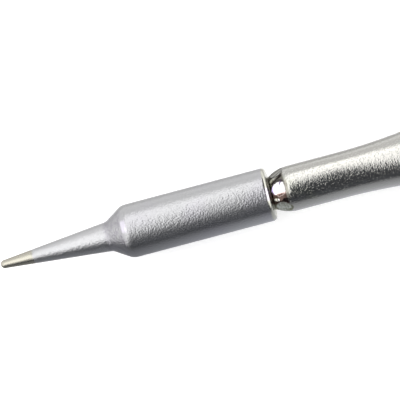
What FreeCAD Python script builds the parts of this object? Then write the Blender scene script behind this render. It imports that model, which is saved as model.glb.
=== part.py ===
import FreeCAD
import Part
import math
import os

# Soldering iron tip of the cartridge kind, in millimetres.
# Every piece is turned round one axis. Stations are first measured along that axis from the
# working point, and the whole tip is laid down at the end: +X runs from the point to the plug,
# and the widest part, the shaft's body, lies on Z = 0.

Vector = FreeCAD.Vector

# Fits
press_clearance = 0.02       # radial room left where one piece is pushed or cemented into another
slip_clearance = 0.03        # radial room round the wires
end_clearance = 0.05         # room left at a shoulder that doesn't carry load

# Plated bit: cone, shoulder and barrel in one piece
point_radius = 0.40
cone_length = 10.45
cone_root_radius = 1.40
cone_root_fillet = 0.90
shoulder_angle = 32.6        # from the axis, in degrees
shoulder_round = 1.40
barrel_radius = 2.50
bit_length = 25.90
barrel_edge_round = 0.35
bore_mouth_chamfer = 0.08
drill_point_angle = 59.0     # half the drill's angle, in degrees

# Shaft tube: spigot, crimped taper, waist, flare and body drawn from one tube
tube_wall = 0.35
spigot_radius = 1.53
spigot_depth = 2.00
spigot_chamfer = 0.10
neck_gap = 0.10              # bare neck between the barrel's end and the taper
taper_round = 3.70
waist_radius = 2.13
waist_length = 4.40
flare_length = 15.70
body_radius = 3.20
body_length = 44.00
body_edge_chamfer = 0.15

# Crimp pressed into the taper by round-nosed jaws that lie across it
jaw_count = 6
jaw_radius = 4.00
jaw_width = 3.00
jaw_depth = 0.11
jaw_setback = 0.72           # from the taper's start to the middle of a dent
jaw_first_angle = 84.0       # round the axis from the rear (+Y) towards the underside, in degrees

# Heater: ceramic former wound with flat ribbon, in a ceramic sleeve
winding_length = 5.60        # room for the whole turns, and half a turn is added to them
coil_pitch = 0.60
ribbon_width = 0.30
ribbon_thickness = 0.10
ribbon_overrun = 20.0        # how far the ribbon's ends run past their leads, in degrees
winding_margin = 0.10        # between the winding and the former's flanges
coil_room = 0.06             # between the winding and the sleeve
front_flange_length = 0.40
rear_flange_length = 0.60
stem_length = 2.80           # the former's stem, through the spigot and the neck
stem_wall = 0.24             # ceramic between the live lead's hole and the stem's skin

# Leads
lead_radius = 0.18
sleeving_wall = 0.12
hook_width = 0.56            # between the two legs of the return lead's hook, centre to centre
weld_gap = 0.01

# Ceramic bead and spacers that hold the leads
bead_length = 3.60
spacer_length = 1.50
spacer_count = 2

# Plug
bush_depth = 8.00
bush_flange_radius = 3.02
bush_flange_length = 1.00
ring_bore_radius = 1.35
ring_sleeve_radius = 1.75
ring_radius = 2.40
ring_length = 4.00
ring_edge_chamfer = 0.15
solder_tab_width = 0.80
solder_tab_length = 2.40
solder_tab_root = 0.20       # how far the tab runs into the ring's sleeve
insulator_flange_radius = 2.15
insulator_flange_length = 1.00
pin_stem_radius = 0.80
pin_radius = 1.80
pin_length = 3.50
pin_edge_chamfer = 0.15
pin_end_chamfer = 0.60
pin_recess = 1.00            # how far inside the insulator the pin's stem ends
live_end_gap = 0.30          # from the live wire's end to the insulator

# Stations along the axis, from the working point
cone_reach = cone_length - point_radius
cone_angle = math.atan2(cone_root_radius, cone_reach) - math.asin(
    point_radius / math.hypot(cone_root_radius, cone_reach)
)
taper_start = bit_length + neck_gap
taper_drop = waist_radius - spigot_radius
taper_length = math.sqrt(2 * taper_round * taper_drop - taper_drop**2)
waist_start = taper_start + taper_length
flare_start = waist_start + waist_length
body_start = flare_start + flare_length
body_end = body_start + body_length
spigot_end = bit_length - spigot_depth
bore_radius = spigot_radius + press_clearance
spigot_bore = spigot_radius - tube_wall
waist_bore = waist_radius - tube_wall
body_bore = body_radius - tube_wall
seam_angle = 90.0            # where point() starts every outline
jaw_step = 360 / jaw_count

# Former and leads: the live lead passes through the stem and lies under the winding's last turn
stem_radius = spigot_bore - slip_clearance
lead_bore = lead_radius + slip_clearance
live_offset = stem_radius - stem_wall - lead_bore
return_offset = live_offset - hook_width
coil_bore = live_offset + lead_radius + weld_gap
former_radius = coil_bore - slip_clearance
heater_sleeve_radius = bore_radius - press_clearance
heater_sleeve_bore = coil_bore + ribbon_thickness + coil_room
coil_turns = int(winding_length / coil_pitch) + 0.5 + 2 * ribbon_overrun / 360
coil_length = coil_pitch * coil_turns

# The former's rear flange stands against the spigot's end, and the bore is drilled to clear its front
former_rear = spigot_end - end_clearance
waist_rear = former_rear - rear_flange_length
coil_end = waist_rear - winding_margin - ribbon_width / 2
coil_start = coil_end - coil_length
waist_front = coil_start - ribbon_width / 2 - winding_margin
former_start = waist_front - front_flange_length
former_end = spigot_end + stem_length
hook_x = former_start - weld_gap - lead_radius
hook_end = coil_start + ribbon_width
bore_bottom = hook_x - lead_radius - end_clearance

# Leads along the shaft
live_start = coil_end - ribbon_width
sleeving_radius = lead_bore + sleeving_wall
sleeving_start = former_end + end_clearance
bush_start = body_end - bush_depth
tab_start = bush_start - solder_tab_length
sleeving_end = tab_start - end_clearance
live_end = bush_start - live_end_gap
pin_stem_start = bush_start + pin_recess

# Plug
ring_start = body_end + bush_flange_length
ring_end = ring_start + ring_length
pin_start = ring_end + insulator_flange_length
total_length = pin_start + pin_length


def point(x, r, angle=seam_angle):
    """A point at station x and radius r; angle goes round the axis from the front towards the top."""
    a = math.radians(angle)
    return Vector(x, -r * math.cos(a), r * math.sin(a))


def arc(centre, radius, start, end):
    """Arc of an outline about centre (x, r), from angle start to angle end in degrees."""
    ends = [math.radians(a) for a in (start, (start + end) / 2, end)]
    spots = [
        point(centre[0] + radius * math.cos(a), centre[1] + radius * math.sin(a)) for a in ends
    ]
    return Part.Arc(*spots).toShape()


def outline(corners):
    """Edges of an open outline through corners (x, r, round), where a round of 0 stays sharp."""
    spots = [point(x, r) for x, r, size in corners]
    edges = []
    reached = spots[0]
    for before, here, after, (x, r, size) in zip(spots, spots[1:], spots[2:], corners[1:]):
        if size == 0:
            edges.append(Part.makeLine(reached, here))
            reached = here
            continue
        back = (before - here).normalize()
        ahead = (after - here).normalize()
        half = back.getAngle(ahead) / 2
        start = here + back * (size / math.tan(half))
        end = here + ahead * (size / math.tan(half))
        middle = here + (back + ahead).normalize() * (size / math.sin(half) - size)
        edges.append(Part.makeLine(reached, start))
        edges.append(Part.Arc(start, middle, end).toShape())
        reached = end
    edges.append(Part.makeLine(reached, spots[-1]))
    return edges


def turned(edges):
    """Solid turned round the axis from the edges of a closed outline."""
    face = Part.Face(Part.Wire(Part.__sortEdges__(edges)))
    return face.revolve(Vector(0, 0, 0), Vector(1, 0, 0), 360)


def turned_corners(corners):
    """Solid turned from a closed outline through corners (x, r, round) that starts at a sharp one."""
    return turned(outline(corners + corners[:1]))


def bar(x0, x1, radius, offset=0.0):
    """Round bar from x0 to x1, its own axis raised above the main one by offset."""
    return Part.makeCylinder(radius, x1 - x0, Vector(x0, 0, offset), Vector(1, 0, 0))


def tube(x0, x1, outer, inner, offset=0.0):
    """Round tube from x0 to x1, its own axis raised above the main one by offset."""
    return bar(x0, x1, outer, offset).cut(bar(x0, x1, inner, offset))


def slot(x0, x1, low, high, width):
    """Block from x0 to x1 and from height low to height high, centred on the axis sideways."""
    return Part.makeBox(x1 - x0, width, high - low, Vector(x0, -width / 2, low))


# Plated bit

def make_bit():
    root_x = cone_length
    barrel_x = root_x + (barrel_radius - cone_root_radius) / math.tan(math.radians(shoulder_angle))
    nose_angle = 90 + math.degrees(cone_angle)
    nose_x = point_radius - point_radius * math.sin(cone_angle)
    nose_r = point_radius * math.cos(cone_angle)
    drill_x = bore_bottom - bore_radius / math.tan(math.radians(drill_point_angle))
    mouth = bore_mouth_chamfer
    body = outline([
        (nose_x, nose_r, 0),
        (root_x, cone_root_radius, cone_root_fillet),
        (barrel_x, barrel_radius, shoulder_round),
        (bit_length, barrel_radius, barrel_edge_round),
        (bit_length, bore_radius + mouth, 0),
        (bit_length - mouth, bore_radius, 0),
        (bore_bottom, bore_radius, 0),
        (drill_x, 0, 0),
        (0, 0, 0),
    ])
    nose = arc((point_radius, 0), point_radius, 180, nose_angle)
    return turned(body + [nose])


# Shaft tube

def tube_outline(inset):
    """Outline of the shaft from spigot to body, taken in from its skin by inset."""
    swell = body_radius - waist_radius
    flare_round = (flare_length**2 + swell**2) / (4 * swell)
    flare_turn = math.degrees(math.asin(flare_length / 2 / flare_round))
    spigot = spigot_radius - inset
    waist = waist_radius - inset
    body = body_radius - inset
    nose_round = taper_round - inset
    centre_r = waist_radius - taper_round
    nose_angle = 180 - math.degrees(math.asin((spigot - centre_r) / nose_round))
    nose_x = waist_start + nose_round * math.cos(math.radians(nose_angle))
    return [
        Part.makeLine(point(spigot_end, 0), point(spigot_end, spigot)),
        Part.makeLine(point(spigot_end, spigot), point(nose_x, spigot)),
        arc((waist_start, centre_r), nose_round, nose_angle, 90),
        Part.makeLine(point(waist_start, waist), point(flare_start, waist)),
        arc((flare_start, waist_radius + flare_round), flare_round + inset, -90, flare_turn - 90),
        arc((body_start, body_radius - flare_round), flare_round - inset, 90 + flare_turn, 90),
        Part.makeLine(point(body_start, body), point(body_end, body)),
        Part.makeLine(point(body_end, body), point(body_end, 0)),
        Part.makeLine(point(body_end, 0), point(spigot_end, 0)),
    ]


def make_jaws(grown):
    """The jaws where they stop, pressed square to the taper's skin; grown widens them by a wall.

    They stand clear of the turned skin's seam at the top, half a step to each side of it.
    """
    centre_r = waist_radius - taper_round
    dent_x = taper_start + jaw_setback
    lean = math.acos((dent_x - waist_start) / taper_round)
    reach = taper_round - jaw_depth + jaw_radius
    x = waist_start + reach * math.cos(lean)
    r = centre_r + reach * math.sin(lean)
    jaws = []
    for i in range(jaw_count):
        angle = seam_angle + jaw_step * (i + 0.5)
        across = point(0, 1, angle + 90)
        base = point(x, r, angle) - across * (jaw_width / 2)
        jaws.append(Part.makeCylinder(jaw_radius + grown, jaw_width, base, across))
    return jaws


def make_shaft():
    skin = turned(tube_outline(0)).cut(make_jaws(0))
    hollow = turned(tube_outline(tube_wall)).cut(make_jaws(tube_wall))
    shaft = skin.cut(hollow)
    rim = [e for e in shaft.Edges if is_ring(e, body_end, body_radius)]
    shaft = shaft.makeChamfer(body_edge_chamfer, rim)
    front = [e for e in shaft.Edges if is_ring(e, spigot_end, spigot_radius)]
    shaft = shaft.makeChamfer(spigot_chamfer, front)
    # Turned about the axis until the dent next before the seam stands at the first jaw's angle
    turn = seam_angle - jaw_step / 2 - jaw_first_angle
    shaft.rotate(Vector(0, 0, 0), Vector(1, 0, 0), turn)
    return shaft


def is_ring(edge, x, radius):
    """Whether an edge is the circle of that radius round the axis at station x."""
    curve = edge.Curve
    if not isinstance(curve, Part.Circle):
        return False
    return abs(curve.Center.x - x) < 1e-4 and abs(curve.Radius - radius) < 1e-4


# Heater

def make_former():
    front_flange = heater_sleeve_bore - press_clearance
    former = turned_corners([
        (former_start, 0, 0),
        (former_start, front_flange, 0),
        (waist_front, front_flange, 0),
        (waist_front, former_radius, 0),
        (waist_rear, former_radius, 0),
        (waist_rear, heater_sleeve_radius, 0),
        (former_rear, heater_sleeve_radius, 0),
        (former_rear, stem_radius, 0),
        (former_end, stem_radius, 0),
        (former_end, 0, 0),
    ])
    live_hole = bar(live_start - end_clearance, former_end, lead_bore, live_offset)
    return_hole = bar(former_start, former_end, lead_bore, -return_offset)
    hook_hole = bar(former_start, hook_end + end_clearance, lead_bore, -live_offset)
    return former.cut([live_hole, return_hole, hook_hole])


def make_coil():
    """Flat ribbon wound from under the former, over the hook's end, to the live lead on top."""
    helix = Part.makeHelix(coil_pitch, coil_length, coil_bore)
    low = -ribbon_width / 2
    high = ribbon_width / 2
    outer = coil_bore + ribbon_thickness
    corners = [(coil_bore, low), (outer, low), (outer, high), (coil_bore, high), (coil_bore, low)]
    section = Part.makePolygon([Vector(r, 0, z) for r, z in corners])
    ribbon = Part.Wire(helix.Edges).makePipeShell([section], True, True)
    ribbon.rotate(Vector(0, 0, 0), Vector(0, 0, 1), -ribbon_overrun)
    ribbon.rotate(Vector(0, 0, 0), Vector(0, 1, 0), 90)
    ribbon.translate(Vector(coil_start, 0, 0))
    return ribbon


def make_heater_sleeve():
    return tube(former_start, waist_rear, heater_sleeve_radius, heater_sleeve_bore)


# Leads

def make_live_wire():
    return bar(live_start, live_end, lead_radius, live_offset)


def make_return_wire():
    """Straight from the pin's stem through the former, hooked back under the ribbon's front end."""
    path = Part.makePolygon([
        Vector(pin_stem_start, 0, -return_offset),
        Vector(hook_x, 0, -return_offset),
        Vector(hook_x, 0, -live_offset),
        Vector(hook_end, 0, -live_offset),
    ])
    section = Part.makeCircle(lead_radius, path.Vertexes[0].Point, Vector(1, 0, 0))
    mitred = 1
    return path.makePipeShell([Part.Wire(section)], True, True, mitred)


def make_sleeving(offset):
    return tube(sleeving_start, sleeving_end, sleeving_radius, lead_bore, offset)


def lead_holes(x0, x1):
    hole = sleeving_radius + slip_clearance
    return [bar(x0, x1, hole, live_offset), bar(x0, x1, hole, -return_offset)]


def make_bead():
    start = waist_start + end_clearance
    end = start + bead_length
    return bar(start, end, waist_bore - press_clearance).cut(lead_holes(start, end))


def make_spacer(number):
    """One of the discs that stand at equal steps between the body's start and the plug."""
    step = (tab_start - body_start) / (spacer_count + 1)
    start = body_start + step * number - spacer_length / 2
    end = start + spacer_length
    return bar(start, end, body_bore - press_clearance).cut(lead_holes(start, end))


# Plug

def make_bush():
    inside = body_bore - press_clearance
    bore = ring_sleeve_radius + press_clearance
    chamfer = body_edge_chamfer
    return turned_corners([
        (bush_start, bore, 0),
        (bush_start, inside, 0),
        (body_end, inside, 0),
        (body_end, bush_flange_radius, 0),
        (ring_start - chamfer, bush_flange_radius, 0),
        (ring_start, bush_flange_radius - chamfer, 0),
        (ring_start, bore, 0),
    ])


def make_ring():
    chamfer = ring_edge_chamfer
    sleeve = turned_corners([
        (bush_start, ring_bore_radius, 0),
        (bush_start, ring_sleeve_radius, 0),
        (ring_start, ring_sleeve_radius, 0),
        (ring_start, ring_radius - chamfer, 0),
        (ring_start + chamfer, ring_radius, 0),
        (ring_end - chamfer, ring_radius, 0),
        (ring_end, ring_radius - chamfer, 0),
        (ring_end, ring_bore_radius, 0),
    ])
    tab_low = live_offset + lead_radius + weld_gap
    tab_end = bush_start + solder_tab_root
    tab = slot(tab_start, tab_end, tab_low, ring_sleeve_radius, solder_tab_width)
    keep = bar(tab_start, tab_end, ring_sleeve_radius)
    clear = bar(bush_start, tab_end, ring_bore_radius)
    return sleeve.fuse(tab.common(keep).cut(clear)).removeSplitter()


def make_insulator():
    outer = ring_bore_radius - press_clearance
    inner = pin_stem_radius + press_clearance
    chamfer = ring_edge_chamfer
    return turned_corners([
        (bush_start, inner, 0),
        (bush_start, outer, 0),
        (ring_end, outer, 0),
        (ring_end, insulator_flange_radius, 0),
        (pin_start - chamfer, insulator_flange_radius, 0),
        (pin_start, insulator_flange_radius - chamfer, 0),
        (pin_start, inner, 0),
    ])


def make_pin():
    return turned_corners([
        (pin_stem_start, 0, 0),
        (pin_stem_start, pin_stem_radius, 0),
        (pin_start, pin_stem_radius, 0),
        (pin_start, pin_radius - pin_edge_chamfer, 0),
        (pin_start + pin_edge_chamfer, pin_radius, 0),
        (total_length - pin_end_chamfer, pin_radius, 0),
        (total_length, pin_radius - pin_end_chamfer, 0),
        (total_length, 0, 0),
    ])


def main():
    parts = {
        "plated_bit": make_bit(),
        "shaft_tube": make_shaft(),
        "heater_former": make_former(),
        "heater_coil": make_coil(),
        "heater_sleeve": make_heater_sleeve(),
        "live_wire": make_live_wire(),
        "return_wire": make_return_wire(),
        "live_sleeving": make_sleeving(live_offset),
        "return_sleeving": make_sleeving(-return_offset),
        "neck_bead": make_bead(),
        "plug_bush": make_bush(),
        "ring_contact": make_ring(),
        "pin_insulator": make_insulator(),
        "contact_pin": make_pin(),
    }
    for number in range(1, spacer_count + 1):
        parts["lead_spacer_" + str(number)] = make_spacer(number)
    os.makedirs("parts", exist_ok=True)
    lay_down = Vector(-total_length / 2, 0, body_radius)
    for name, shape in parts.items():
        # The live lead and its tab are the heavier side, so the tip rolls until they are underneath
        shape.rotate(Vector(0, 0, 0), Vector(1, 0, 0), 180)
        shape.translate(lay_down)
        shape.exportStep("parts/" + name + ".step")
        print(name, len(shape.Solids), shape.isValid(), round(shape.Volume, 3))
    print("total length", round(total_length, 3), "bore bottom", round(bore_bottom, 3))


main()
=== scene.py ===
import math

import bpy
from mathutils import Matrix, Vector


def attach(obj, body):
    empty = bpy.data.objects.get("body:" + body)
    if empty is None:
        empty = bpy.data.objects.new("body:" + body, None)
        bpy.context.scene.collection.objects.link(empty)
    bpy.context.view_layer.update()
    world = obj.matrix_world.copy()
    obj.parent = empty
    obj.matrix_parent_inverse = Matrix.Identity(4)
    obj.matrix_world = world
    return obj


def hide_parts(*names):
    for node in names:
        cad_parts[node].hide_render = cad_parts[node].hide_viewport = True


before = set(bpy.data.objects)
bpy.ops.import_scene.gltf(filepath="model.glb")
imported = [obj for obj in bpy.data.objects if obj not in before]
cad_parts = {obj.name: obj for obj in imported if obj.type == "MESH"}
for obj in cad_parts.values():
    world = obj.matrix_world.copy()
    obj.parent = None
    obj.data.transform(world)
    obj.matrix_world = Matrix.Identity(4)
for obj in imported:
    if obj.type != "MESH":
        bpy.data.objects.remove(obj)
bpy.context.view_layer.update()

mm = 0.001
axisHeight = 3.2 * mm        # the tip's own axis above the floor
pointX = -50.81 * mm         # the working point, from which every station is measured


def place(x, r, angle=90.0):
    # A spot at station x and radius r in mm, angle round the axis from the front (-Y) to the top
    a = math.radians(angle)
    return Vector((pointX + x * mm, -r * mm * math.cos(a), axisHeight + r * mm * math.sin(a)))


def clearSelection():
    bpy.ops.object.select_all(action="DESELECT")


def pick(piece):
    clearSelection()
    piece.select_set(True)
    bpy.context.view_layer.objects.active = piece


# Outlines and turned pieces

def straight(spots, x, r, step):
    # Carries the outline on to (x, r) in even steps
    x0, r0 = spots[-1]
    count = max(1, math.ceil(math.hypot(x - x0, r - r0) / step))
    for i in range(1, count + 1):
        spots.append((x0 + (x - x0) * i / count, r0 + (r - r0) * i / count))


def bend(spots, centre, radius, start, end, step):
    # Carries the outline round an arc about centre, angles in degrees
    turn = math.radians(end - start)
    count = max(3, math.ceil(abs(turn) * radius / step), math.ceil(abs(end - start) / 6))
    for i in range(1, count + 1):
        a = math.radians(start) + turn * i / count
        spots.append((centre[0] + radius * math.cos(a), centre[1] + radius * math.sin(a)))


def corner(spots, at, towards, radius, step):
    # Goes to the corner at and rounds it, ready to leave towards the next point
    here = Vector(at)
    back = (Vector(spots[-1]) - here).normalized()
    ahead = (Vector(towards) - here).normalized()
    half = back.angle(ahead) / 2
    start = here + back * (radius / math.tan(half))
    centre = here + (back + ahead).normalized() * (radius / math.sin(half))
    end = here + ahead * (radius / math.tan(half))
    straight(spots, start.x, start.y, step)
    first = math.degrees(math.atan2(start.y - centre.y, start.x - centre.x))
    last = math.degrees(math.atan2(end.y - centre.y, end.x - centre.x))
    while last - first > 180:
        last -= 360
    while last - first < -180:
        last += 360
    bend(spots, centre, radius, first, last, step)


def spinPiece(name, spots, steps):
    # One vertex is drawn out along the outline, and the outline is spun round the axis
    clearSelection()
    bpy.ops.mesh.primitive_plane_add(size=mm, location=(0, 0, 0))
    piece = bpy.context.object
    piece.name = name
    piece.data.name = name
    bpy.ops.object.mode_set(mode="EDIT")
    bpy.ops.mesh.select_all(action="SELECT")
    bpy.ops.mesh.merge(type="CENTER")
    reached = Vector((0, 0, 0))
    goal = place(*spots[0])
    bpy.ops.transform.translate(value=goal - reached)
    reached = goal
    for x, r in spots[1:]:
        goal = place(x, r)
        bpy.ops.mesh.extrude_vertices_move(TRANSFORM_OT_translate={"value": goal - reached})
        reached = goal
    bpy.ops.mesh.select_all(action="SELECT")
    bpy.ops.mesh.spin(steps=steps, angle=2 * math.pi, center=(0, 0, axisHeight), axis=(1, 0, 0))
    bpy.ops.mesh.select_all(action="SELECT")
    bpy.ops.mesh.remove_doubles(threshold=0.0003 * mm)
    bpy.ops.mesh.normals_make_consistent(inside=False)
    bpy.ops.object.mode_set(mode="OBJECT")
    bpy.ops.object.shade_smooth()
    return piece


def weigh(piece, name, share):
    # A vertex group whose weight is share(x, r) of each vertex's station and radius in mm
    group = piece.vertex_groups.new(name=name)
    for v in piece.data.vertices:
        x = (v.co.x - pointX) / mm
        r = math.hypot(v.co.y, v.co.z - axisHeight) / mm
        w = share(x, r)
        if w > 0:
            group.add([v.index], w, "REPLACE")


def between(x, low, high, fade):
    # 1 from low to high, falling to 0 over fade on each side
    rise = min(1, max(0, (x - low + fade) / fade))
    fall = min(1, max(0, (high + fade - x) / fade))
    return rise * fall


def apply(piece, kind, **settings):
    pick(piece)
    modifier = piece.modifiers.new(kind, kind)
    for key, value in settings.items():
        setattr(modifier, key, value)
    bpy.ops.object.modifier_apply(modifier=modifier.name)


def roughen(piece, group, look):
    # Lifts and lowers the skin by clouds of the piece's own grain
    clouds = bpy.data.textures.new(group, "CLOUDS")
    clouds.noise_scale = look["grainSize"] * mm
    clouds.noise_depth = 0
    apply(
        piece, "DISPLACE", texture=clouds, texture_coords="LOCAL", mid_level=0.5,
        strength=look["grain"] * mm, vertex_group=group,
    )


# The plated bit, in mm and degrees, with its stations from the working point

bit = {
    "pointRadius": 0.40,
    "coneLength": 10.45,
    "rootRadius": 1.40,      # where the cone meets the shoulder
    "rootRound": 0.90,
    "shoulderAngle": 32.6,
    "shoulderRound": 1.40,
    "barrelRadius": 2.50,
    "length": 25.90,
    "rimRound": 0.35,
    "boreRadius": 1.55,
    "boreMouth": 0.08,
    "boreBottom": 16.163,
    "drillAngle": 59.0,      # half the drill's point
    "steps": 160,            # round the axis
    "pointStep": 0.03,       # between the rings of the mesh
    "coneStep": 0.10,
    "shoulderStep": 0.06,
    "barrelStep": 0.04,
    "grain": 0.0012,         # the plating's unevenness
    "grainSize": 0.16,
    "grainFrom": 4.2,
    "grainTo": 25.4,
}


def makeBit():
    tip = bit["pointRadius"]
    root = bit["rootRadius"]
    barrel = bit["barrelRadius"]
    bore = bit["boreRadius"]
    mouth = bit["boreMouth"]
    end = bit["length"]
    reach = bit["coneLength"] - tip
    coneAngle = math.atan2(root, reach) - math.asin(tip / math.hypot(root, reach))
    barrelX = bit["coneLength"] + (barrel - root) / math.tan(math.radians(bit["shoulderAngle"]))
    drillX = bit["boreBottom"] - bore / math.tan(math.radians(bit["drillAngle"]))
    cap = 7                  # degrees of the round point that are left flat
    spots = [(0, 0), (tip - tip * math.cos(math.radians(cap)), tip * math.sin(math.radians(cap)))]
    bend(spots, (tip, 0), tip, 180 - cap, 90 + math.degrees(coneAngle), bit["pointStep"])
    corner(spots, (bit["coneLength"], root), (barrelX, barrel), bit["rootRound"], bit["coneStep"])
    corner(spots, (barrelX, barrel), (end, barrel), bit["shoulderRound"], bit["shoulderStep"])
    corner(spots, (end, barrel), (end, bore), bit["rimRound"], bit["barrelStep"])
    straight(spots, end, bore + mouth, 0.3)
    straight(spots, end - mouth, bore, 1)
    straight(spots, bit["boreBottom"], bore, 1)
    straight(spots, drillX, 0, 1)
    piece = spinPiece("bit", spots, bit["steps"])
    grainFrom, grainTo = bit["grainFrom"], bit["grainTo"]

    def outside(x, r):
        # The bore, which starts behind the shoulder, stays smooth
        return r > bore + 0.05 or x < bit["coneLength"] + 0.55

    weigh(piece, "platingGrain", lambda x, r: between(x, grainFrom, grainTo, 1) * outside(x, r))
    roughen(piece, "platingGrain", bit)
    return piece


# The shaft tube, measured as the bit is

shaft = {
    "wall": 0.35,
    "spigotRadius": 1.53,
    "spigotEnd": 23.90,
    "spigotChamfer": 0.10,
    "noseRound": 3.70,
    "waistRadius": 2.13,
    "waistStart": 28.02,
    "flareStart": 32.42,
    "bodyStart": 48.12,
    "bodyEnd": 92.12,
    "bodyRadius": 3.20,
    "bodyChamfer": 0.15,
    "steps": 192,            # round the axis
    "jaws": 6,
    "jawRadius": 5.00,
    "jawWidth": 3.00,
    "jawDepth": 0.13,
    "jawX": 26.84,           # the middle of a dent
    "jawFirst": 84.0,        # round the axis from the front to the top
    "pressed": (25.95, 29.0),     # what the jaws can reach
    "softened": (26.2, 27.55),    # where the dents' edges are softened
    "softening": 3,          # passes
    "grain": 0.002,          # the drawn and tumbled steel's unevenness
    "grainSize": 0.22,
    "grainFrom": 27.65,
    "grainTo": 92.0,
}


def makeShaft():
    wall = shaft["wall"]
    spigot = shaft["spigotRadius"]
    waist = shaft["waistRadius"]
    body = shaft["bodyRadius"]
    noseRound = shaft["noseRound"]
    spigotEnd = shaft["spigotEnd"]
    waistStart = shaft["waistStart"]
    flareStart = shaft["flareStart"]
    bodyStart = shaft["bodyStart"]
    bodyEnd = shaft["bodyEnd"]
    spigotChamfer = shaft["spigotChamfer"]
    bodyChamfer = shaft["bodyChamfer"]
    # Two equal arcs make the flare
    flare = bodyStart - flareStart
    swell = body - waist
    flareRound = (flare ** 2 + swell ** 2) / (4 * swell)
    flareTurn = math.degrees(math.asin(flare / 2 / flareRound))
    flareIn = (flareStart, waist + flareRound)
    flareOut = (bodyStart, body - flareRound)
    middle = 90 - flareTurn
    noseCentre = (waistStart, waist - noseRound)

    def noseFrom(inset):
        # Angle at which the nose, taken in by inset, leaves the spigot
        return 180 - math.degrees(math.asin((spigot - inset - noseCentre[1]) / (noseRound - inset)))

    noseX = waistStart + noseRound * math.cos(math.radians(noseFrom(0)))
    spots = [
        (spigotEnd, spigot - wall),
        (spigotEnd, spigot - spigotChamfer),
        (spigotEnd + spigotChamfer, spigot),
    ]
    # Along the skin, with wide rings where the bit hides it
    straight(spots, bit["length"] - 0.1, spigot, 0.5)
    straight(spots, noseX, spigot, 0.05)
    bend(spots, noseCentre, noseRound, noseFrom(0), 90, 0.05)
    straight(spots, flareStart, waist, 0.1)
    bend(spots, flareIn, flareRound, -90, -middle, 0.12)
    bend(spots, flareOut, flareRound, 90 + flareTurn, 90, 0.3)
    straight(spots, bodyEnd - bodyChamfer, body, 0.3)
    straight(spots, bodyEnd, body - bodyChamfer, 1)
    straight(spots, bodyEnd, body - wall, 1)
    # And back through the hollow
    straight(spots, bodyStart, body - wall, 4)
    bend(spots, flareOut, flareRound - wall, 90, 90 + flareTurn, 2)
    bend(spots, flareIn, flareRound + wall, -middle, -90, 2)
    straight(spots, waistStart, waist - wall, 1)
    bend(spots, noseCentre, noseRound - wall, 90, noseFrom(wall), 0.1)
    straight(spots, spigotEnd, spigot - wall, 1)
    piece = spinPiece("shaft", spots, shaft["steps"])

    def onSkin(x, r):
        return math.hypot(x - noseCentre[0], r - noseCentre[1]) > noseRound - wall / 2

    weigh(piece, "outer", lambda x, r: between(x, *shaft["pressed"], 0.01) * onSkin(x, r))
    weigh(piece, "inner", lambda x, r: between(x, *shaft["pressed"], 0.01) * (not onSkin(x, r)))
    pressJaws(piece, "outer", 0)
    pressJaws(piece, "inner", wall)
    weigh(piece, "crimp", lambda x, r: between(x, *shaft["softened"], 0.12))
    apply(piece, "SMOOTH", factor=0.5, iterations=shaft["softening"], vertex_group="crimp")
    grainFrom, grainTo = shaft["grainFrom"], shaft["grainTo"]
    weigh(piece, "steelGrain", lambda x, r: between(x, grainFrom, grainTo, 0.25) * (r > waist - 0.08))
    roughen(piece, "steelGrain", shaft)
    return piece


def pressJaws(piece, group, grown):
    # Bars across the nose push the wall in front of them, as the crimping jaws do
    noseRound = shaft["noseRound"]
    lean = math.acos((shaft["jawX"] - shaft["waistStart"]) / noseRound)
    reach = noseRound - shaft["jawDepth"] + shaft["jawRadius"]
    x = shaft["waistStart"] + reach * math.cos(lean)
    r = shaft["waistRadius"] - noseRound + reach * math.sin(lean)
    for i in range(shaft["jaws"]):
        angle = shaft["jawFirst"] + i * 360 / shaft["jaws"]
        clearSelection()
        bpy.ops.mesh.primitive_cylinder_add(
            vertices=256, radius=(shaft["jawRadius"] + grown) * mm, depth=shaft["jawWidth"] * mm,
            location=place(x, r, angle), rotation=(-math.radians(angle), 0, 0),
        )
        jaw = bpy.context.object
        apply(
            piece, "SHRINKWRAP", target=jaw, wrap_method="NEAREST_SURFACEPOINT",
            wrap_mode="OUTSIDE", vertex_group=group,
        )
        bpy.data.objects.remove(jaw)


# Materials

class Value:
    # A number in the shader, with the usual operators
    def __init__(self, finish, socket):
        self.finish = finish
        self.socket = socket

    def math(self, operation, *others):
        inputs = {0: self}
        for i, other in enumerate(others):
            inputs[i + 1] = other
        return self.finish.node("Math", {"operation": operation}, inputs)

    def __add__(self, other):
        return self.math("ADD", other)

    def __mul__(self, other):
        return self.math("MULTIPLY", other)

    def __sub__(self, other):
        return self.math("SUBTRACT", other)

    def __rsub__(self, other):
        return self.math("MULTIPLY_ADD", -1, other)

    def __truediv__(self, other):
        return self.math("DIVIDE", other)

    def __rtruediv__(self, other):
        return self.math("POWER", -1) * other

    def __neg__(self):
        return self.math("MULTIPLY", -1)

    __radd__ = __add__
    __rmul__ = __mul__

    def rise(self, low, high):
        # 0 below low and 1 above high, smooth between
        settings = {"interpolation_type": "SMOOTHSTEP"}
        inputs = {"Value": self, "From Min": low, "From Max": high}
        return self.finish.node("MapRange", settings, inputs)

    def within(self, low, high, fade):
        return self.rise(low - fade, low) * (1 - self.rise(high, high + fade))


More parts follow.
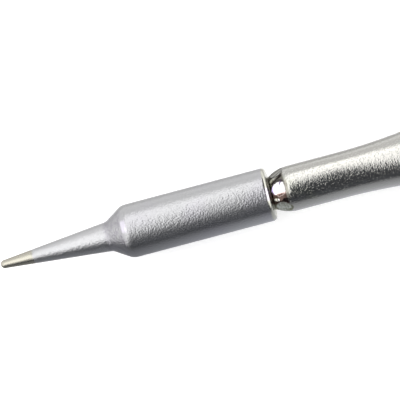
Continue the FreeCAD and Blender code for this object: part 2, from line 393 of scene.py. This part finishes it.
class Finish:
    # One material, whose nodes are wired as they are made
    def __init__(self, name, tree=None):
        if tree is None:
            self.material = bpy.data.materials.new(name)
            self.material.use_nodes = True
            tree = self.material.node_tree
        self.tree = tree
        self.tree.nodes.clear()

    def node(self, kind, settings=None, inputs=None, output=0):
        made = self.tree.nodes.new("ShaderNode" + kind)
        for key, value in (settings or {}).items():
            setattr(made, key, value)
        for key, value in (inputs or {}).items():
            self.set(made.inputs[key], value)
        return Value(self, made.outputs[output])

    def set(self, socket, value):
        if isinstance(value, Value):
            self.tree.links.new(value.socket, socket)
        elif isinstance(value, tuple) and len(value) == 3 and len(socket.default_value) == 4:
            socket.default_value = (*value, 1)
        else:
            socket.default_value = value

    def vector(self, operation, value, inputs):
        return self.node("VectorMath", {"operation": operation}, {0: value, **inputs})

    def spot(self):
        # The spot on the piece in mm, with the axis at y 0 and z 0 and x from the working point
        where = self.node("TexCoord", output="Object")
        centred = self.vector("SUBTRACT", where, {1: (pointX, 0, axisHeight)})
        return self.vector("SCALE", centred, {"Scale": 1 / mm})

    def parts(self, vector):
        split = self.node("SeparateXYZ", inputs={0: vector})
        return [Value(self, output) for output in split.socket.node.outputs]

    def noise(self, vector, size, detail=2.0):
        # Values round 0.5, with blobs of about size mm
        return self.node("TexNoise", inputs={"Vector": vector, "Scale": 1 / size, "Detail": detail})

    def mix(self, factor, a, b):
        # The colour inputs of a Mix node come after those for numbers and vectors
        inputs = {0: factor, 6: a, 7: b}
        return self.node("Mix", {"data_type": "RGBA"}, inputs, output=2)

    def bump(self, height, distance):
        return self.node("Bump", inputs={"Height": height, "Distance": distance * mm})

    def surface(self, **values):
        names = {
            "colour": "Base Color", "roughness": "Roughness", "metallic": "Metallic",
            "normal": "Normal",
        }
        inputs = {names[key]: value for key, value in values.items()}
        return self.finishWith(self.node("BsdfPrincipled", inputs=inputs))

    def finishWith(self, shader, kind="Material"):
        output = self.tree.nodes.new("ShaderNodeOutput" + kind)
        self.tree.links.new(shader.socket, output.inputs["Surface"])
        return self.material if kind == "Material" else None


def angleFromFront(f, y, z):
    # Degrees round the axis, 0 at the front and 90 on top
    return f.node("Math", {"operation": "ARCTAN2"}, {0: z, 1: -y}) * (180 / math.pi)


platedPaint = {
    "plain": (0.35, 0.35, 0.355),
    "violet": (0.346, 0.342, 0.357),
    "shoulder": (0.29, 0.283, 0.303),
    "cone": (0.39, 0.39, 0.397),
    "tinned": (0.37, 0.355, 0.305),
    "rim": (0.47, 0.465, 0.41),
    "glint": (0.66, 0.61, 0.66),
    "highlightStreak": (0.47, 0.45, 0.50),
    "tinnedTo": 3.15,        # mm from the point
    "tinnedFade": 0.16,
    "roughness": 0.285,
    "grainSize": 0.15,
    "grainHeight": 0.028,
}


def plated():
    f = Finish("platedBit")
    p = f.spot()
    x, y, z = f.parts(p)
    angle = angleFromFront(f, y, z)
    paint = platedPaint
    colour = f.mix(f.noise(p, 3.0, 1).rise(0.4, 0.65), paint["plain"], paint["violet"])
    # The cone is painted in a lighter copy of the plating's colour, a painted highlight
    colour = f.mix(x.rise(9.8, 10.6), paint["cone"], colour)
    # The shoulder is painted darker in mottles, as painted shade, and a painted highlight streak lies
    # where it meets the barrel
    mottle = f.noise(p, 0.35).rise(0.42, 0.60)
    colour = f.mix(x.within(10.4, 11.9, 0.4) * (0.35 + mottle * 0.65), colour, paint["shoulder"])
    highlightStreak = x.within(12.0, 12.3, 0.15) * angle.within(80, 98, 8)
    # The tinned end stops at an uneven edge
    uneven = x + (f.noise(p, 0.5) - 0.5) * 0.25
    fade = paint["tinnedFade"]
    tinned = 1 - uneven.rise(paint["tinnedTo"] - fade, paint["tinnedTo"] + fade)
    colour = f.mix(tinned, colour, paint["tinned"])
    # A pale painted highlight streak across the shoulder's round
    colour = f.mix(highlightStreak, colour, paint["highlightStreak"])
    # The rim is painted paler, partly its bare edge and partly painted highlight, with a painted glint
    # across its middle
    rim = x.rise(25.50, 25.66)
    colour = f.mix(rim, colour, f.mix(angle.within(66, 88, 6), paint["rim"], paint["glint"]))
    barrel = x.rise(11.0, 12.6) * 0.01
    rough = paint["roughness"] + barrel - tinned * 0.045 - rim * 0.09 + (f.noise(p, 0.5) - 0.5) * 0.02
    grain = f.noise(p, paint["grainSize"], 1) * x.rise(3.0, 3.4) * (1 - rim)
    grain = grain * (1.4 - x.rise(10.6, 12.2) * 0.4)
    return f.surface(
        colour=colour, metallic=1.0, roughness=rough, normal=f.bump(grain, paint["grainHeight"]),
    )


steelPaint = {
    "plain": (0.365, 0.36, 0.34),
    "tint": (0.36, 0.37, 0.31),
    "shadeBand": (0.19, 0.18, 0.15),
    "roughness": 0.11,
    "grainSize": 0.12,
    "grainHeight": 0.011,
    "pitSize": 0.13,
    "pitDepth": 0.6,         # of the grain's height
}

crimpPaint = {
    "from": 25.0,            # mm from the point
    "to": 27.35,
    "roughness": 0.08,
    "dentHalf": 0.68,        # mm from a dent's middle to its ends
    "dentTurn": 20.5,        # degrees round the axis from a dent's middle to its sides
    "olive": (0.06, 0.052, 0.034),
    "brown": (0.075, 0.045, 0.036),
    "under": (0.30, 0.30, 0.25),
    "line": (0.015, 0.013, 0.012),
    "dent": (0.60, 0.585, 0.59),
    "violet": (0.46, 0.38, 0.62),
    "pinkHighlightFringe": (0.60, 0.44, 0.40),
    "reflectedSlash": (0.16, 0.12, 0.20),
    "lowDentReflection": (0.42, 0.43, 0.385),
    "lowShade": (0.20, 0.21, 0.165),
    "lowEdge": (0.11, 0.115, 0.06),
    "highlightSpot": (0.90, 0.87, 0.85),
    "leafReflection": (0.42, 0.42, 0.38),
}


def crimpColour(f, p, x, angle, crimp, colour):
    paint = crimpPaint
    step = 360 / shaft["jaws"]
    turn = ((angle - shaft["jawFirst"] + 720 + step / 2) / step).math("FRACT") - 0.5
    # Round a dent's middle: sideways -1 and 1 at its sides, along -1 and 1 at its ends
    sideways = turn * (step / paint["dentTurn"])
    along = (x - shaft["jawX"]) / paint["dentHalf"]
    ragged = (f.noise(p, 0.30) - 0.5) * 0.5
    out = (sideways * sideways + along * along).math("SQRT") + ragged
    dent = 1 - out.rise(0.92, 1.08)
    line = out.rise(0.85, 0.98) * (1 - out.rise(1.12, 1.35))
    low = 1 - angle.rise(72, 84)
    under = 1 - angle.rise(26, 40)
    front = angle.within(60, 108, 4)

    # The ground between the dents is darkened, partly heat tint and partly painted dark reflection, and
    # painted paler underneath as a painted reflection of the floor
    ground = f.mix(low, paint["olive"], paint["brown"])
    ground = f.mix(under, ground, paint["under"])
    colour = f.mix(crimp * (0.75 + low * 0.2), colour, ground)

    # The first dent is painted bright, a painted highlight, and the one below it pale and clouded, a
    # painted reflection, with a darkened edge along it
    cloud = f.noise(p, 0.26).rise(0.42, 0.58) * 0.8
    lowDentReflection = f.mix(cloud, paint["lowDentReflection"], paint["lowShade"])
    shown = dent * (0.8 + front * 0.2) * (1 - (angle - along * 3).rise(101, 107))
    colour = f.mix(shown, colour, f.mix(front, lowDentReflection, paint["dent"]))
    colour = f.mix(line * along.rise(0.1, 0.8) * under * 0.8, colour, paint["lowEdge"])

    # In the first dent, round its painted highlight: a violet fringe towards the bit, a pink fringe, a
    # brown lower side of heat tint and painted dark reflection, and a dark slash, a painted reflection
    lower = sideways + (f.noise(p, 0.14, 1) - 0.5) * 0.4
    colour = f.mix(dent * front * (1 - along.rise(-0.9, -0.35)), colour, paint["violet"])
    colour = f.mix(dent * front * (1 - lower.rise(-0.70, -0.50)), colour, paint["pinkHighlightFringe"])
    colour = f.mix(dent * front * (1 - lower.rise(-0.82, -0.62)), colour, paint["brown"])
    reflectedSlash = (angle - 99 - (x - 27.06) * 30).within(-2, 2, 1.5) * x.within(26.98, 27.26, 0.05)
    colour = f.mix(reflectedSlash * front, colour, paint["reflectedSlash"])

    # A small painted highlight lies on the ridge below the first dent
    aside = (x - 26.38) / 0.27
    above = (angle - 52) / 5
    highlightSpot = 1 - (aside * aside + above * above).rise(0.7, 1.3)
    colour = f.mix(highlightSpot, colour, paint["highlightSpot"])

    # Behind the first dent the fold is painted with pale blades and black cuts between, all aslant, as
    # painted reflections
    aslant = angle - 112 - (x - 26.35) * 14 + (f.noise(p, 0.5, 1) - 0.5) * 6
    fold = x.within(26.15, 27.3, 0.1) * angle.within(104, 150, 3)
    reflectedBlades = aslant.within(2.5, 9.0, 2.0) + aslant.within(19, 26, 3) * 0.6
    reflectedCuts = aslant.within(-9, -4.5, 2.0) + aslant.within(12.5, 15.0, 2.0)
    colour = f.mix(fold * reflectedBlades, colour, paint["leafReflection"])
    colour = f.mix(fold * reflectedCuts, colour, paint["line"])

    # A dark band of painted shade lies on the front and top of the shaft just behind the crimp
    shadeBand = x.within(27.44, 27.66, 0.08) * angle.within(52, 98, 8) * 0.8
    colour = f.mix(shadeBand, colour, steelPaint["shadeBand"])
    return f.mix(line * crimp * angle.rise(60, 110) * 0.85, colour, paint["line"])


def steel():
    f = Finish("shaftSteel")
    p = f.spot()
    x, y, z = f.parts(p)
    paint = steelPaint
    crimp = x.within(crimpPaint["from"], crimpPaint["to"], 0.20)
    colour = f.mix(f.noise(p, 2.4).rise(0.55, 0.72) * 0.5, paint["plain"], paint["tint"])
    colour = crimpColour(f, p, x, angleFromFront(f, y, z), crimp, colour)
    rough = paint["roughness"] + (f.noise(p, 0.35) - 0.5) * 0.06
    rough = rough * (1 - crimp) + crimp * crimpPaint["roughness"]
    pits = f.noise(p, paint["pitSize"], 0).rise(0.60, 0.74) * paint["pitDepth"]
    grain = (f.noise(p, paint["grainSize"], 1) + pits) * (1 - crimp)
    return f.surface(
        colour=colour, metallic=1.0, roughness=rough, normal=f.bump(grain, paint["grainHeight"]),
    )


def plainFinish(name, colour, roughness, metallic=0.0, blob=0.4, height=0.01):
    # An even material with a little unevenness in its colour and surface
    f = Finish(name)
    n = f.noise(f.spot(), blob, 3)
    darker = tuple(c * 0.86 for c in colour)
    return f.surface(
        colour=f.mix(n, darker, colour), metallic=metallic,
        roughness=roughness + (n - 0.5) * 0.12, normal=f.bump(n, height),
    )


def braid():
    # Glass yarn plaited round the lead
    f = Finish("glassSleeving")
    x, y, z = f.parts(f.spot())
    angle = angleFromFront(f, y, z)
    one = (x * 14 + angle / 20).math("SINE")
    other = (x * 14 - angle / 20).math("SINE")
    weave = one * other * 0.5 + 0.5
    return f.surface(
        colour=f.mix(weave, (0.62, 0.58, 0.50), (0.86, 0.84, 0.78)), roughness=0.7,
        normal=f.bump(weave, 0.02),
    )


print("materials")
finishes = {
    "plated": plated(),
    "steel": steel(),
    "ceramic": plainFinish("ceramic", (0.88, 0.86, 0.81), 0.55),
    "ribbon": plainFinish("resistanceRibbon", (0.42, 0.37, 0.34), 0.45, 1.0, 0.3),
    "lead": plainFinish("leadWire", (0.66, 0.62, 0.55), 0.30, 1.0, 0.3),
    "braid": braid(),
    "plastic": plainFinish("darkPlastic", (0.035, 0.036, 0.038), 0.48, 0.0, 0.25, 0.006),
    "contact": plainFinish("contactMetal", (0.83, 0.62, 0.28), 0.24, 1.0, 0.6, 0.004),
}

nodeFinish = {
    "heater_former": "ceramic",
    "heater_coil": "ribbon",
    "heater_sleeve": "ceramic",
    "live_wire": "lead",
    "return_wire": "lead",
    "live_sleeving": "braid",
    "return_sleeving": "braid",
    "neck_bead": "ceramic",
    "lead_spacer_1": "ceramic",
    "lead_spacer_2": "ceramic",
    "plug_bush": "plastic",
    "ring_contact": "contact",
    "pin_insulator": "plastic",
    "contact_pin": "contact",
}


def paintPiece(piece, finishName):
    piece.data.materials.clear()
    piece.data.materials.append(finishes[finishName])


def dress(piece, finishName, node):
    paintPiece(piece, finishName)
    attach(piece, "root")
    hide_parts(node)


for nodeName, finishName in nodeFinish.items():
    paintPiece(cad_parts[nodeName], finishName)
print("bit")
dress(makeBit(), "plated", "plated_bit")
print("shaft")
dress(makeShaft(), "steel", "shaft_tube")


# Floor, cards and light, in metres and degrees

studio = {
    "sides": 0.95,           # the room's brightness
    "rear": 1.35,            # behind the tip
    "left": 2.0,             # far to the left, for the crimp
    "right": 2.2,            # and to the right, for the barrel's rear edge
    "floorColour": 0.72,
    "floorLift": 0.50,       # added to the floor's colour where it is seen or mirrored
    "edgeTurn": 75.4,        # from +X, the line where the softbox ends and the top card begins
    "edgeAt": (-0.037, 0.0),
    "softboxRadiance": 1.74,
    "softboxHeight": 0.15,
    "softboxLong": 0.365,
    "softboxWide": 0.083,
    "softboxShift": 0.071,   # of its middle along the edge
    "cardColour": (0.112, 0.118, 0.132),
    "cardWide": 0.113,
    "cardLong": 0.75,
    "cardGap": 0.006,        # that the top card hangs above the softbox
    "frontAway": 1.3,        # from the axis to the card in front of the tip
    "frontX": 0.05,
    "frontWide": 2.1,
    "frontHigh": 0.83,
    "stripLong": 0.14,       # of both strips close to the tip
    "stripFoot": 0.00195,    # from the axis to the foot of the front one
    "stripLean": 32.9,       # its lean from upright
    "stripWide": 0.0057,
    "stripColour": (0.96, 0.985, 1.05),
    "stripTones": (0.65, 0.07),   # at its foot and at its top
    "stripEnds": (0.6, 1.4),      # times these before the point and along the shaft
    "rearStripAway": 0.005,  # from the axis to the one behind
    "rearStripHigh": 0.0034,
    "rearStripTone": 0.92,
    "clearance": 0.0001,     # from the floor to the strips
}


def panel(name, width, depth, centre, rotation, material):
    clearSelection()
    bpy.ops.mesh.primitive_plane_add(size=1, location=(0, 0, 0))
    made = bpy.context.object
    made.name = name
    bpy.ops.object.mode_set(mode="EDIT")
    bpy.ops.mesh.select_all(action="SELECT")
    bpy.ops.transform.resize(value=(width, depth, 1))
    bpy.ops.object.mode_set(mode="OBJECT")
    made.location = centre
    made.rotation_euler = rotation
    made.data.materials.append(material)
    return made


def grey(tone):
    return (tone, tone, tone)


def floorFinish():
    f = Finish("floorPaper")
    diffuse = f.node("BsdfDiffuse", inputs={"Color": grey(studio["floorColour"])})
    rays = f.node("LightPath").socket.node.outputs
    seen = Value(f, rays["Is Camera Ray"]) + Value(f, rays["Is Glossy Ray"])
    seen = seen + Value(f, rays["Is Transmission Ray"])
    lift = f.node("Emission", inputs={"Color": f.mix(seen, grey(0), grey(studio["floorLift"]))})
    return f.finishWith(f.node("AddShader", inputs={0: diffuse, 1: lift}))


def cardFinish():
    f = Finish("darkCard")
    return f.finishWith(f.node("BsdfDiffuse", inputs={"Color": studio["cardColour"]}))


def stripFinish():
    # Shaded from its foot to its top, as the tip's underside mirrors it
    f = Finish("greyStrip")
    x, y, z = f.parts(f.node("TexCoord", output="Object"))
    foot, top = studio["stripTones"]
    darker, lighter = studio["stripEnds"]
    height = (y / studio["stripWide"] + 0.5).math("POWER", 3.5)
    front = f.mix(height, grey(foot * darker), grey(top * darker))
    rear = f.mix(height, grey(foot * lighter), grey(top * lighter))
    shade = f.mix(x.rise(-0.044, -0.016), front, rear)
    tinted = f.vector("MULTIPLY", shade, {1: studio["stripColour"]})
    return f.finishWith(f.node("Emission", inputs={"Color": tinted}))


def rearStripFinish():
    f = Finish("paleStrip")
    return f.finishWith(f.node("Emission", inputs={"Color": grey(studio["rearStripTone"])}))


print("studio")
panel("floor", 8, 8, (0, 0, 0), (0, 0, 0), floorFinish())

turn = math.radians(studio["edgeTurn"])
alongEdge = Vector((math.cos(turn), math.sin(turn), 0))
toLeft = Vector((-math.sin(turn), math.cos(turn), 0))
edge = Vector((*studio["edgeAt"], studio["softboxHeight"]))
lampPlace = edge + toLeft * studio["softboxWide"] / 2 + alongEdge * studio["softboxShift"]
bpy.ops.object.light_add(type="AREA", location=lampPlace, rotation=(0, 0, turn))
softbox = bpy.context.object
softbox.name = "softbox"
softbox.data.shape = "RECTANGLE"
softbox.data.size = studio["softboxLong"]
softbox.data.size_y = studio["softboxWide"]
softboxArea = studio["softboxLong"] * studio["softboxWide"]
softbox.data.energy = studio["softboxRadiance"] * math.pi * softboxArea

dark = cardFinish()
upright = (math.pi / 2, 0, 0)
cardPlace = edge - toLeft * studio["cardWide"] / 2 + Vector((0, 0, studio["cardGap"]))
topCard = panel("topCard", studio["cardLong"], studio["cardWide"], cardPlace, (0, 0, turn), dark)
frontPlace = (studio["frontX"], -studio["frontAway"], studio["frontHigh"] / 2 + 0.002)
frontCard = panel("frontCard", studio["frontWide"], studio["frontHigh"], frontPlace, upright, dark)

lean = math.radians(studio["stripLean"])
half = studio["stripWide"] / 2
stripY = -studio["stripFoot"] - half * math.sin(lean)
stripPlace = (0, stripY, half * math.cos(lean) + studio["clearance"])
stripTurn = (math.pi / 2 + lean, 0, 0)
strip = panel("strip", studio["stripLong"], studio["stripWide"], stripPlace, stripTurn, stripFinish())
rearHigh = studio["rearStripHigh"]
rearPlace = (0, studio["rearStripAway"], rearHigh / 2 + studio["clearance"])
rearStrip = panel("rearStrip", studio["stripLong"], rearHigh, rearPlace, upright, rearStripFinish())
for piece in (strip, rearStrip):
    piece.visible_diffuse = False
    piece.visible_shadow = False
for piece in (topCard, frontCard, strip, rearStrip):
    piece.visible_camera = False

world = bpy.data.worlds.new("room")
bpy.context.scene.world = world
world.use_nodes = True
room = Finish("room", world.node_tree)
toRight, toRear, upward = room.parts(room.node("TexCoord"))
tone = room.mix(toRear.rise(0.2, 0.9), grey(studio["sides"]), grey(studio["rear"]))
farLeft = (1 - toRight.rise(-0.60, -0.40)) * upward.rise(0.15, 0.3)
tone = room.mix(farLeft, tone, grey(studio["left"]))
tone = room.mix(toRight.rise(0.50, 0.60), tone, grey(studio["right"]))
room.finishWith(room.node("Background", inputs={"Color": tone}), "World")


# Camera

view = {
    "lens": 400.0,           # mm, on a sensor 36 mm wide
    "azimuth": 20.7,         # degrees from the front, towards the plug
    "elevation": 75.0,
    "roll": 14.85,           # degrees the tip's axis rises to the right in the picture
    "pixels": 400,           # across the picture
    "scale": 0.0920,         # mm for each pixel
    "station": 19.12,        # mm from the point, the spot of the axis seen in the picture's middle column
    "below": 12.4,           # pixels that this spot lies under the picture's middle
}

print("camera")
sensor = 36
azimuth = math.radians(view["azimuth"])
elevation = math.radians(view["elevation"])
roll = math.radians(view["roll"])
back = Vector((
    math.sin(azimuth) * math.cos(elevation), -math.cos(azimuth) * math.cos(elevation),
    math.sin(elevation),
))
along = (Vector((1, 0, 0)) - back * back.x).normalized()
across = back.cross(along)
right = along * math.cos(roll) - across * math.sin(roll)
up = along * math.sin(roll) + across * math.cos(roll)
distance = view["pixels"] * view["scale"] * mm * view["lens"] / sensor
middle = place(view["station"], 0) + up * view["below"] * view["scale"] * mm
bpy.ops.object.camera_add(location=middle + back * distance)
camera = bpy.context.object
camera.name = "camera"
camera.data.lens = view["lens"]
camera.data.sensor_width = sensor
camera.data.clip_start = 0.01
camera.rotation_mode = "QUATERNION"
turned = [list(row) for row in zip(right, up, back)]
camera.rotation_quaternion = Matrix(turned).to_quaternion()
bpy.context.scene.camera = camera
bpy.context.scene.view_settings.view_transform = "Standard"
